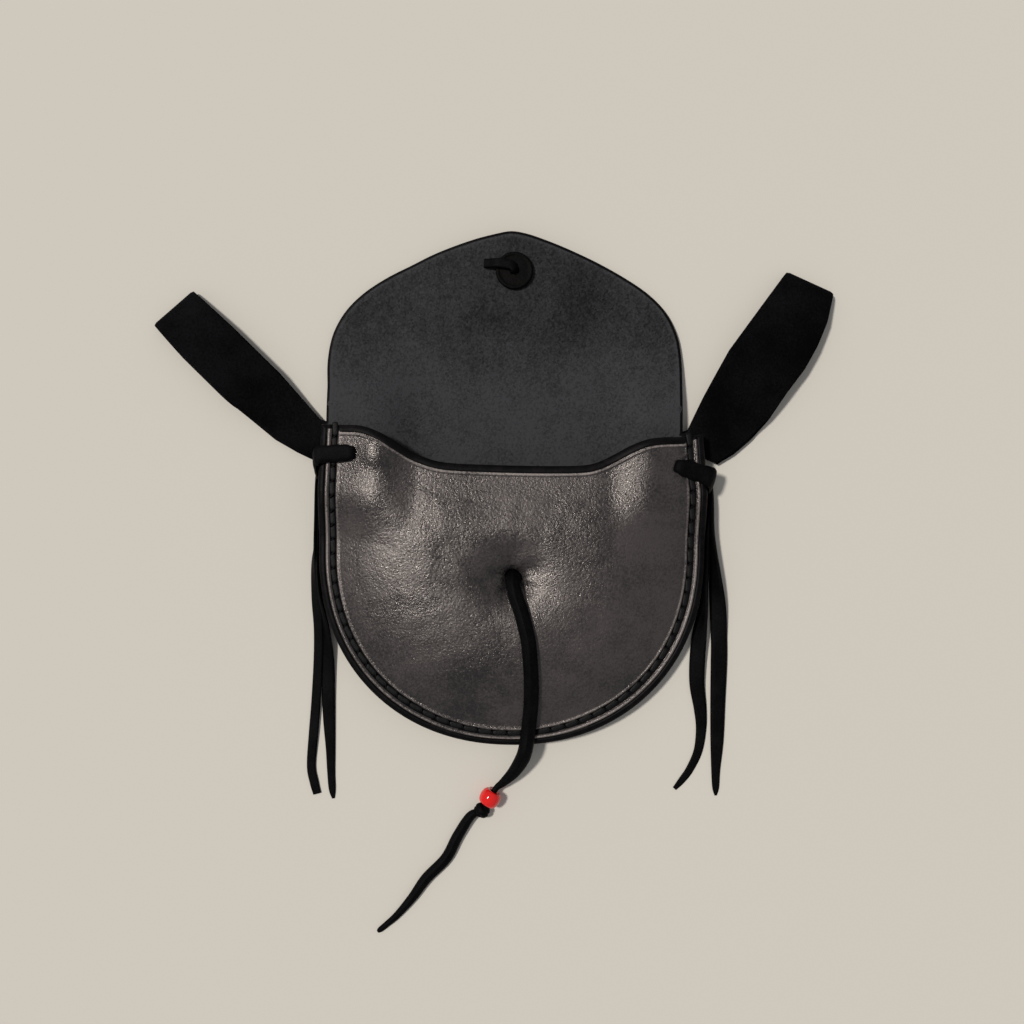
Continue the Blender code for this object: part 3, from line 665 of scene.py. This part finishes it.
def frontSurface(x, y, depth, cut):
    top = frontTop(x, y)
    under = top - bag["leather"]
    dyeAndShade = wearAndPaintedLight = 0.0
    if depth < 14 or y > 24:
        seam = fromSeam(x, y)
        lip = fromLip(x, y) if y > 20 else 99.0
        grooveAt = front["grooveAt"] + front["grooveMore"]
        share = seam * grooveAt / grooveDistance(x)
        clear = ease((seam - 7.0) / 0.8)  # the lip's lines stop short of the seam
        top -= edgeRound(min(seam, lip), front["edgeRun"], front["edgeDrop"])
        under += 0.9 * max(0.0, 1 - min(seam, lip) / front["edgeRun"]) ** 2
        top += sum(rise * hollow(share, place, wide) for place, wide, rise in front["rim"])
        top += sum(rise * hollow(lip, place, wide) for place, wide, rise in front["lip"]) * clear
        band = 1.6 + (front["lipBand"] - 1.6) * clear
        # the dark finish: the dyed outer edge, and painted shade together with dye in the stitch groove
        # and on the lip band
        dyeAndShade = max(1 - ease((share - 2.5) / 0.7),
                      1 - ease((abs(share - grooveAt) - 1.1) / 0.45),
                      1 - ease((lip - band) / 0.3))
        # pale lines on the rim ridge, the inner crease and the lip's crease: worn dye and painted
        # highlight
        wearAndPaintedLight = max(much * hollow(share, place, wide) for place, wide, much in front["rimWornAndLit"])
        wearAndPaintedLight = max(wearAndPaintedLight, hollow(lip, front["lipBand"] + 0.5, 0.55) * clear)
    top += sum(ripple(x, y, *wave) for wave in front["ripples"]) * ease((depth - 12) / 4)
    away = Vector((x, y)) - Vector(bag["thongHole"])
    reach = away.length
    fold = math.cos(math.atan2(away.y, away.x) * front["folds"] + 0.8)  # they run to the hole
    ring = math.exp(-((reach - front["foldAt"]) / front["foldWide"]) ** 2)
    top += front["foldRise"] * fold * ring
    top -= 1.2 * (1 - ease((reach - 2.6) / 2.2)) + 1.3 * math.exp(-(reach / 9) ** 2)
    (sagX, sagY), (wideX, wideY) = front["sagAt"], front["sagWide"]
    top -= front["sag"] * math.exp(-((x - sagX) / wideX) ** 2 - ((y - sagY) / wideY) ** 2)
    for spot, rise, size in front["swells"]:  # the laces pull the leather into swells
        top += rise * math.exp(-(math.dist((x, y), spot) / size) ** 2)
    return top, min(under, top - 0.35), dyeAndShade, wearAndPaintedLight


points, faces, marks = leatherSheet(
    frontOutline, bag["thongHole"], frontOffsets, 38, frontSurface,
    holeRadius=front["holeRadius"], soften=1.7, mitred=False)
frontPiece = addPiece("mouldedFront", points, faces, frontLeather, "pouch",
                      marks, rimLook=burnishedEdgeAndShade)
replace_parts(frontPiece, "front_panel")
print("front", len(frontPiece.data.polygons), "faces")

# the welt in the seam
welt = {"step": 2.0, "inset": 4.1, "inner": 3.9, "outer": 3.6, "bulge": 0.35, "half": 0.95}
weltRoute = bodyEdge(welt["step"])
weltSides = levelSides(weltRoute)
weltLine = []
for (x, y), side in zip(weltRoute, weltSides):
    x, y = x + side.x * welt["inset"], y + side.y * welt["inset"]
    weltLine.append((x, y, lift(x, y) + bag["leather"] + bag["gap"] + bag["welt"] / 2))
weltSection = [(-welt["outer"] - welt["bulge"] * math.cos(t), welt["half"] * math.sin(t))
               for t in [math.pi * (0.5 - k / 8) for k in range(9)]]
weltSection += [(welt["inner"], -welt["half"]), (welt["inner"], welt["half"])]
points, faces = sweep(weltLine, weltSides, [1.0] * len(weltLine), weltSection)
weltPiece = addPiece("seamWelt", points, faces, laceLeather, "pouch")
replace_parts(weltPiece, "welt")

# the back leather, in two sheets that meet in the middle of the fold strip
back = {"step": 1.4, "meetAt": bag["foldY"] + bag["foldStrip"] / 2, "edgeRun": 1.6,
        "edgeDrop": 0.9, "groove": 0.85, "grooveWide": 1.7}
left, right, meet = bag["flapLeft"], bag["flapRight"], back["meetAt"]
edge = bodyEdge(back["step"])
rightSide = evenly([(right, bag["rightCorner"][1] + 0.6), (right, meet)], 1.0)
topSide = evenly([(right, meet), (left, meet)], back["step"])
leftSide = evenly([(left, meet), (left, bag["leftCorner"][1] + 0.9)], 1.0)
backOutline = edge + rightSide + topSide[1:] + leftSide[1:]
backCut = [1.0] * len(edge + rightSide) + [0.0] * len(topSide[1:-1]) + [1.0] * len(leftSide)


def rubAndPaintedLightAt(y, depth):
    # the leather is lighter round the mouth and the fold, partly greyed by handling and partly painted
    # light, and a line by the edge is lighter, partly bared by handling and partly a painted highlight
    return 0.42 * (1 - ease((y - 60) / 36)) + 0.7 * hollow(depth, 1.9, 0.7)


def cutEdge(depth, cut):
    # how near a cut edge a point is, from 0 to 1, and how far the edge is rounded there
    near = max(0.0, 1 - depth / back["edgeRun"]) * cut
    return near, edgeRound(depth, back["edgeRun"], back["edgeDrop"]) * cut


def backSurface(x, y, depth, cut):
    near, rounding = cutEdge(depth, cut)
    top = lift(x, y) + bag["leather"] - rounding
    under = lift(x, y) + rounding * 0.9
    if cut and depth < 12 and y < 49:  # the groove that the stitches lie in
        under += back["groove"] * hollow(fromSeam(x, y), grooveDistance(x), back["grooveWide"])
    return top, under, near ** 0.5, rubAndPaintedLightAt(y, depth if cut else 99.0)


backOffsets = [0, 0.15, 0.4, 0.8, 1.2] + [1.6 + 0.8 * k for k in range(14)]
points, faces, marks = leatherSheet(
    backOutline, (0.0, 0.0), backOffsets, 18, backSurface, backCut)
backPiece = addPiece("backLeather", points, faces, fleshLeather, None,
                     marks, rimLook=burnishedEdgeAndShade)
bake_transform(backPiece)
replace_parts(backPiece, "back_panel", "flap_fold")

flapEdge = [
    (-74.1, 64.6), (-74.5, 75), (-72.9, 85), (-68.3, 94.2), (-61.2, 101.8),
    (-52, 108.2), (-41.7, 113.6), (-31.5, 118.4), (-17.4, 123.3), (-8, 125.9), (-1.9, 127),
    (4.2, 126.1), (11.4, 123.8), (23.6, 119.2), (34.3, 114.7), (44, 109.6), (53.5, 103.2),
    (60.6, 95.8), (65.1, 86.6), (66.7, 77), (66.9, 64.6)]
curved = list(reversed(through(flapEdge, 6)))
rim = evenly([(right, meet)] + curved + [(left, meet)], back["step"])
base = evenly([(left, meet), (right, meet)], back["step"])[1:-1]
flapOutline = rim + base
flapCut = [1.0] * len(rim) + [0.0] * len(base)


def flapSurface(x, y, depth, cut):
    near, rounding = cutEdge(depth, cut)
    top = lift(x, y) + bag["leather"] - rounding
    if depth > 8:
        away = ease((math.dist((x, y), bag["button"]) - 9) / 8)
        top += (ripple(x, y, 22, 0.35, 5.0) - 0.1) * away * ease((y - 70) / 8)
    wearAndPaintedLight = rubAndPaintedLightAt(y, depth if cut else 99.0)
    return top, lift(x, y) + rounding * 0.9, near ** 0.5, wearAndPaintedLight


points, faces, marks = leatherSheet(
    flapOutline, (-3.0, 88.0), backOffsets, 24, flapSurface, flapCut)
flapPiece = addPiece("openFlap", points, faces, fleshLeather, None,
                     marks, rimLook=burnishedEdgeAndShade)
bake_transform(flapPiece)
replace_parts(flapPiece, "flap")
print("back leather and flap made")


# belt loops: a suede strip doubled over at its outer end
def spanAt(loop, across, s):
    # how far the plan reaches to each side at a distance along the strip
    found = []
    end, heading = loop["end"], loop["heading"]
    turned = [((x - end[0]) * heading[0] + (y - end[1]) * heading[1],
               (x - end[0]) * across[0] + (y - end[1]) * across[1]) for x, y in loop["plan"]]
    for a, b in zip(turned, turned[1:] + turned[:1]):
        if (a[0] - s) * (b[0] - s) <= 0 and abs(a[0] - b[0]) > 1e-9:
            share = (s - a[0]) / (b[0] - a[0])
            found.append(a[1] + (b[1] - a[1]) * share)
    return min(found), max(found)


loops = {
    "leftBeltLoop": {
        "node": "belt_loop_left", "end": (-136.35, 95.35), "heading": (0.6667, -0.7453),
        "narrower": (2.2, 0.0), "seed": 11.0, "length": 88, "plan": [
            (-128.7, 102.2), (-144, 88.5), (-130.9, 74.7), (-111, 55.7), (-95, 43.2),
            (-86, 38.2), (-79.5, 35.2), (-77, 34.6), (-70, 32), (-57.5, 29.5), (-57.5, 46.5),
            (-77, 51.5), (-94, 70.1), (-113.7, 88.9)]},
    "rightBeltLoop": {
        "node": "belt_loop_right", "end": (117.5, 109.05), "heading": (-0.4030, -0.9152),
        "narrower": (0.4, 1.2), "seed": 14.0, "length": 82, "plan": [
            (108.3, 113.1), (93.1, 91.8), (86, 81.8), (81, 72.5), (75.6, 62.4), (72.2, 55.4),
            (69.4, 49.3), (57.5, 46), (57.5, 27), (66, 28.5), (77, 33.4), (79.5, 34.6),
            (87.9, 39.8), (95, 46), (102.1, 53.9), (108.5, 63.5), (115, 73.3), (119.5, 82.5),
            (123.5, 92.6), (126.7, 105)]},
}
# the strip from the side, (along, up): the lower ply runs out to the turn, the upper one back
loopSide = [
    (104, 2.3), (86, 2.3), (70, 2.3), (63, 1.7), (56, 0.9), (50, 0.55), (36, 0.55), (20, 0.55),
    (8, 0.55), (3.4, 0.65), (1.2, 1.3), (0.5, 2.5), (1.1, 3.8), (3, 4.7), (8, 5.8), (14, 6.8),
    (24, 7.4), (34, 7.5), (44, 7.3), (50, 6.8), (57, 5.5), (63, 4.2), (70, 3.6), (86, 3.6),
    (104, 3.6)]


def beltLoop(name, loop):
    origin, heading, narrower = loop["end"], loop["heading"], loop["narrower"]
    across = (-heading[1], heading[0])
    line = [p for p in evenly(through(loopSide), 0.9) if p[0] < loop["length"]]
    turnAt = min(range(len(line)), key=lambda k: line[k][0])
    columns = 34
    rows = []
    for k, (s, z) in enumerate(line):
        a, b = line[max(k - 1, 0)], line[min(k + 1, len(line) - 1)]
        slope = Vector((b[0] - a[0], b[1] - a[1])).normalized()
        normal = Vector((slope.y, -slope.x))
        low, high = spanAt(loop, across, max(s, 0.02))
        if k > turnAt:
            low += narrower[0] * ease((s - 40) / 25)
            high -= narrower[1] * ease((s - 15) / 40) * (1 - ease((s - 75) / 20))
        row = []
        for face in (1, -1):
            for c in range(columns + 1):
                share = c / columns
                if c in (0, 1, columns - 1, columns):  # closer together along the cut edges
                    share = 0.5 - 0.5 * math.cos(math.pi * share)
                t = low + (high - low) * share
                closeness = min(t - low, high - t)
                thick = bag["suede"] / 2 * (0.25 + 0.75 * ease(closeness / 0.7)) * face
                wave = ripple(s, t, 16, 0.3, loop["seed"]) if k > turnAt and 6 < s < 60 else 0.0
                along = s + normal.x * thick
                row.append((origin[0] + heading[0] * along + across[0] * t,
                            origin[1] + heading[1] * along + across[1] * t,
                            z + wave + normal.y * thick))
        rows.append(row)
    width = columns + 1
    size = 2 * width
    faces = []
    for k in range(len(rows) - 1):
        for a in range(k * size, k * size + columns):
            b = a + width
            faces.append((a, a + 1, a + size + 1, a + size))
            faces.append((b + size, b + size + 1, b + 1, b))
        for a in (k * size, k * size + columns):
            faces.append((a, a + size, a + size + width, a + width))
    for k in (0, len(rows) - 1):
        for a in range(k * size, k * size + columns):
            faces.append((a, a + 1, a + width + 1, a + width))
    points = [p for row in rows for p in row]
    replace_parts(addPiece(name, points, faces, blackSuede, "pouch"), loop["node"])


for loopName, loop in loops.items():
    beltLoop(loopName, loop)
print("belt loops made")


# the laces wrapped round the two corners
overLeft = frontTop(*bag["leftHole"]) + bag["gap"] + bag["lace"] / 2
overRight = frontTop(*bag["rightHole"]) + bag["gap"] + bag["lace"] / 2
wraps = {
    "leftCornerLace": {"node": "wrap_lace_left", "side": (-0.052, 0.9987, 0), "swell": 0.04,
                       "route": [
        (-74.6, 31, 1.12), (-70, 33.2, 1.12), (-65.6, 35.8, 1.12), (-62.9, 37.4, 1.15),
        (-61.7, 37.9, 1.5), (-61.5, 37.9, 2.8), (-61.5, 37.9, 7), (-61.5, 37.9, 12),
        (-61.55, 37.9, overLeft - 1.2), (-62, 37.88, overLeft + 0.1),
        (-63.3, 37.8, overLeft + 0.4), (-66.2, 37.7, overLeft - 0.4),
        (-69.2, 37.5, overLeft - 1.2), (-73, 37.2, overLeft - 1.7),
        (-75.6, 36.8, overLeft - 1.8), (-76.9, 36, 12.4), (-77.35, 34.8, 10.4),
        (-77.4, 32.9, 7.6), (-77.4, 31.2, 5.2), (-77.4, 30.1, 3.2)]},
    "rightCornerLace": {"node": "wrap_lace_right", "side": (0.277, 0.961, 0), "swell": 0.2,
                        "route": [
        (73.4, 27.6, 1.12), (69.6, 30.3, 1.12), (65.9, 33, 1.12), (64.2, 34.2, 1.15),
        (63.2, 34.6, 1.5), (63, 34.6, 2.8), (63, 34.6, 7), (63, 34.6, 12),
        (63.05, 34.6, overRight - 1.2), (63.5, 34.45, overRight + 0.1),
        (64.8, 34.1, overRight + 0.4), (67.6, 33.3, overRight - 0.3),
        (70.6, 32.4, overRight - 1.1), (74, 31.4, overRight - 1.6),
        (76.2, 30.7, overRight - 1.8), (77.6, 29.9, 12.2), (78, 28.9, 10), (78, 27.7, 7.6),
        (78, 26.5, 5.2), (77.9, 25.8, 3.4)]},
}
for wrapName, wrap in wraps.items():
    # soft lace pulled tight through its hole: narrow at the hole, swollen over the rim
    wrapRun = through(wrap["route"])
    widths = []
    for i in range(len(wrapRun)):
        station = i / 8  # which point of the route is near
        widths.append(0.74 + 0.28 * ease((abs(station - 8.5) - 0.3) / 2.4)
                      + 0.03 * math.sin(i * 0.55)
                      + wrap["swell"] * math.exp(-((station - 15) / 2) ** 2))
    points, faces = sweep(wrapRun, [Vector(wrap["side"])] * len(wrapRun), widths,
                          laceSection(bag["laceWidth"], bag["lace"] + 0.6, soft=2.6))
    piece = addPiece(wrapName, points, faces, laceLeather, "pouch")
    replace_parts(piece, wrap["node"])

# the closure's disc and its lace on the flap
disc = {"radius": 7.4, "thick": 1.8, "under": bag["tipLift"] + bag["leather"] + bag["gap"],
        "edgeRun": 0.7, "edgeDrop": 0.6, "dish": 0.25, "hole": 2.0, "sides": 96}
discTurns = [2 * math.pi * k / disc["sides"] for k in range(disc["sides"])]
discOutline = [(bag["button"][0] + disc["radius"] * math.cos(t),
                bag["button"][1] + disc["radius"] * math.sin(t)) for t in discTurns]
discTop = disc["under"] + disc["thick"]


def discSurface(x, y, depth, cut):
    near = max(0.0, 1 - depth / disc["edgeRun"])
    rounding = edgeRound(depth, disc["edgeRun"], disc["edgeDrop"])
    dish = disc["dish"] * (ease(depth / 5) if depth < 12 else 1)
    top = discTop - rounding - dish + ripple(x, y, 3.5, 0.12, 2.0)
    return top, disc["under"] + rounding * 0.5, near, 0.0


points, faces, _ = leatherSheet(discOutline, bag["button"], [0, 0.1, 0.25, 0.45, 0.7, 1.1],
                                10, discSurface, holeRadius=disc["hole"])
discPiece = addPiece("flapDisc", points, faces, discLeather, "flap")
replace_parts(discPiece, "closure_disc")
tie = {"width": 3.8, "thick": 1.5, "route": [
    (-12.4, 113.6, disc["under"] + 0.8), (-10.2, 113.5, discTop - 0.3),
    (-7.4, 113.4, discTop + 1.25), (-4.2, 113.1, discTop + 1.3), (-1.6, 112.6, discTop + 1.2),
    (-0.6, 111.6, discTop + 0.5), (-0.5, 110.9, discTop - 1.2), (-0.5, 110.9, 6),
    (-0.5, 110.9, 3), (-0.5, 110.9, 0.5)]}
tieRun = through(tie["route"])
tieSides = []
for i in range(len(tieRun)):
    turn = ease((i - 36) / 16)  # the lace turns as it goes down the hole
    tieSides.append(Vector((0.1 + 0.9 * turn, 1 - 0.9 * turn, 0)))
points, faces = sweep(tieRun, tieSides, [1.0] * len(tieRun),
                      laceSection(tie["width"], tie["thick"]))
tiePiece = addPiece("flapTieLace", points, faces, laceLeather, "flap")
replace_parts(tiePiece, "closure_lace")
buttonObject = bpy.data.objects["closure_button"]
for slotOfButton in buttonObject.material_slots:
    slotOfButton.material = discLeather
print("laces and closure made")


# stitches along the seam, by Geometry Nodes
def stitchTree(name):
    tree = bpy.data.node_groups.new(name, "GeometryNodeTree")
    face = tree.interface
    face.new_socket("Geometry", in_out="INPUT", socket_type="NodeSocketGeometry")
    for label in ("Pitch", "Shift", "Length", "Width", "Height", "Slant"):
        face.new_socket(label, in_out="INPUT", socket_type="NodeSocketFloat")
    face.new_socket("Material", in_out="INPUT", socket_type="NodeSocketMaterial")
    face.new_socket("Geometry", in_out="OUTPUT", socket_type="NodeSocketGeometry")
    given = addNode(tree, "NodeGroupInput").outputs
    curve = addNode(tree, "GeometryNodeMeshToCurve", {"Mesh": given["Geometry"]})
    spots = addNode(tree, "GeometryNodeCurveToPoints", {
        "Curve": curve, "Length": given["Pitch"]}, mode="LENGTH")
    push = addNode(tree, "ShaderNodeVectorMath", {
        0: spots.outputs["Tangent"], "Scale": given["Shift"]}, operation="SCALE")
    moved = addNode(tree, "GeometryNodeSetPosition", {"Geometry": spots, "Offset": push})
    along = addNode(tree, "FunctionNodeAlignEulerToVector", {
        "Vector": spots.outputs["Tangent"]}, axis="X", pivot_axis="Z")
    slant = addNode(tree, "ShaderNodeCombineXYZ", {"Z": given["Slant"]})
    turned = addNode(tree, "FunctionNodeRotateEuler", {
        "Rotation": along, "Rotate By": slant}, space="LOCAL")
    size = addNode(tree, "ShaderNodeCombineXYZ", {
        "X": given["Length"], "Y": given["Width"], "Z": given["Height"]})
    block = addNode(tree, "GeometryNodeMeshCube", {
        "Size": (1, 1, 1), "Vertices X": 5, "Vertices Y": 3, "Vertices Z": 3})
    soft = addNode(tree, "GeometryNodeSubdivisionSurface", {"Mesh": block, "Level": 1})
    smooth = addNode(tree, "GeometryNodeSetShadeSmooth", {"Geometry": soft})
    placed = addNode(tree, "GeometryNodeInstanceOnPoints", {
        "Points": moved, "Instance": smooth, "Rotation": turned, "Scale": size})
    real = addNode(tree, "GeometryNodeRealizeInstances", {"Geometry": placed})
    painted = addNode(tree, "GeometryNodeSetMaterial", {"Geometry": real, "Material": given["Material"]})
    addNode(tree, "NodeGroupOutput", {"Geometry": painted})
    return tree


def bakeNodes(name, path, tree, inputs, body):
    # the tree runs on a line of points, and its result stays as a plain mesh
    mesh = bpy.data.meshes.new(name + "Line")
    edges = [(i, i + 1) for i in range(len(path) - 1)]
    mesh.from_pydata([Vector(p) * mm for p in path], edges, [])
    line = addObject(name + "Line", mesh)
    step = line.modifiers.new("stitches", "NODES")
    step.node_group = tree
    sockets = {item.name: item.identifier for item in tree.interface.items_tree
               if item.in_out == "INPUT"}
    for label, value in inputs.items():
        step[sockets[label]] = value
    bpy.context.view_layer.update()
    seen = line.evaluated_get(bpy.context.evaluated_depsgraph_get())
    baked = bpy.data.meshes.new_from_object(seen)
    bpy.data.objects.remove(line)
    piece = addObject(name, baked)
    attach(piece, body)


def insetPath(height):
    # the middle of the seam's groove, short of both its ends
    run = bodyEdge(1.0)
    path = []
    for (x, y), side in zip(run, levelSides(run)):
        inset = grooveDistance(x)
        x, y = x + side.x * inset, y + side.y * inset
        path.append((x, y, height(x, y)))
    return evenly(path, 0.8)[2:-2]


seam = {
    "stitch": {"Pitch": 5.7, "Shift": 0.0, "Length": 5.5, "Width": 2.3, "Height": 1.1,
               "Slant": 0.09},
    # the gap blocks are painted shade: near-black pieces in the groove that stand for the stitch holes
    "gap": {"Pitch": 5.7, "Shift": 2.85, "Length": 0.5, "Width": 3.0, "Height": 1.6,
            "Slant": 0.8},
    "backHeight": 0.8, "sunk": 0.5,
}
seamTree = stitchTree("seamStitches")
topLine = insetPath(lambda x, y: frontTop(x, y) - seam["sunk"])
underLine = insetPath(lambda x, y: lift(x, y) + seam["sunk"])


def stitchRun(name, line, kind, material, height=None):
    sizes = {label: value * mm if label != "Slant" else value
             for label, value in seam[kind].items()}
    if height:
        sizes["Height"] = height * mm
    bakeNodes(name, line, seamTree, {**sizes, "Material": material}, "pouch")


stitchRun("frontStitches", topLine, "stitch", linenThread)
# painted shade of the stitch holes, between the stitches
stitchRun("frontStitchHoleShade", topLine, "gap", burnishedEdgeAndShade)
stitchRun("backStitches", underLine, "stitch", linenThread, seam["backHeight"])
print("stitches made")

# floor, light and finish
stage = {"floor": "d8d3ca", "reach": 40.0, "sky": "f4f6fa", "worldLevel": 0.30,
         "seen": "cec7bc"}
floorMesh = bpy.data.meshes.new("paleFloor")
reach = stage["reach"]
floorMesh.from_pydata([(-reach, -reach, 0), (reach, -reach, 0), (reach, reach, 0),
                       (-reach, reach, 0)], [], [(0, 1, 2, 3)])
floorObject = addObject("paleFloor", floorMesh)
# seamless backdrop paper: flat and matt
floorMesh.materials.append(newMaterial("palePaper", {
    "Base Color": toLinear(stage["floor"]), "Roughness": 0.9})[0])

world = bpy.data.worlds.new("softStudio")
bpy.context.scene.world = world
world.use_nodes = True
worldTree = world.node_tree  # past the floor's end the camera sees the backdrop's own tone
ray = addNode(worldTree, "ShaderNodeLightPath").outputs["Is Camera Ray"]
lit = worldTree.nodes["Background"]
feed(worldTree, lit, {"Color": toLinear(stage["sky"]), "Strength": stage["worldLevel"]})
seen = addNode(worldTree, "ShaderNodeBackground", {"Color": toLinear(stage["seen"])})
choice = addNode(worldTree, "ShaderNodeMixShader", {0: ray, 1: lit, 2: seen})
feed(worldTree, worldTree.nodes["World Output"], {"Surface": choice})

# one lamp like a hazy sun, high on the left
key = {"from": (-0.76, 0.30, 1.5), "angle": 0.12, "strength": 2.25, "colour": "fffaf3"}
keyData = bpy.data.lights.new("keyLight", "SUN")
keyData.angle = key["angle"]
keyData.energy = key["strength"]
keyData.color = toLinear(key["colour"])[:3]
keyObject = addObject("keyLight", keyData)
keyObject.rotation_euler = Vector(key["from"]).to_track_quat("Z", "Y").to_euler()

bpy.context.scene.view_settings.view_transform = "Standard"
print("scene ready")
